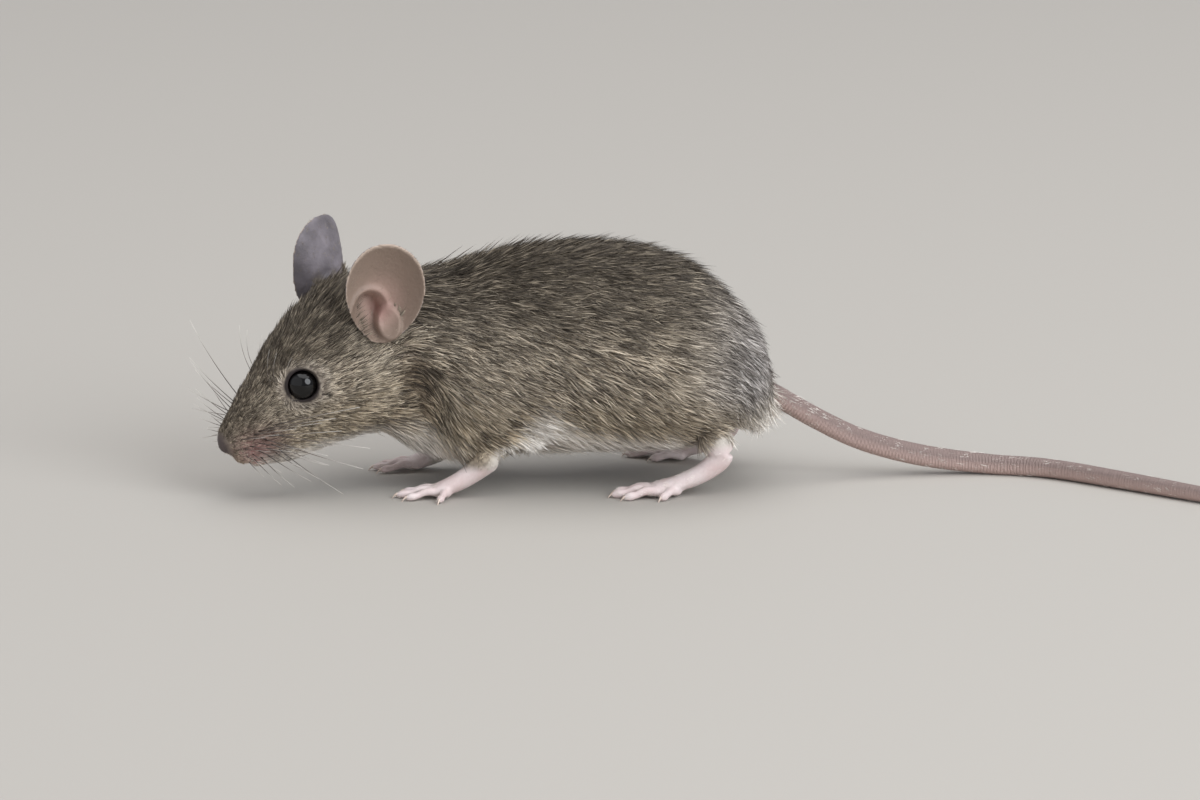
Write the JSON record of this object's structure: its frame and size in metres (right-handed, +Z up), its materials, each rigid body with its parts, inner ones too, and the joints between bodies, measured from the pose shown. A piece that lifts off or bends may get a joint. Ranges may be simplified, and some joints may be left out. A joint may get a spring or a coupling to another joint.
{
  "type": "life-size house mouse figure",
  "caption": "House mouse, brown-grey, standing low on four feet with its head down, large round ears and a long tail laid on the floor; still, life size.",
  "frame": {"origin": "middle of the underside of the whole mouse's box, on the floor the feet stand on", "axes": "+X along the body to the tail, the nose towards -X; +Z up; the animal's left side is -Y"},
  "size_m": [0.1377, 0.0444, 0.0314],
  "materials": {
    "coat": "short brown-grey fur, matt",
    "ear_skin": "thin bare skin, soft sheen",
    "foot_skin": "pale pink skin, soft sheen",
    "tail_skin": "finely ringed skin, soft sheen",
    "eye": "wet gloss"
  },
  "bodies": {
    "root": {"head": "coat", "neck": "coat", "trunk": "coat", "thigh_left": "coat", "thigh_right": "coat", "foreleg_left": "coat", "foreleg_right": "coat", "forefoot_left": "foot_skin", "forefoot_right": "foot_skin", "hindfoot_left": "foot_skin", "hindfoot_right": "foot_skin", "ear_left": "ear_skin", "ear_right": "ear_skin", "eye_left": "eye", "eye_right": "eye", "tail_1": "tail_skin", "tail_2": "tail_skin", "tail_3": "tail_skin", "tail_4": "tail_skin"}
  },
  "joints": []
}
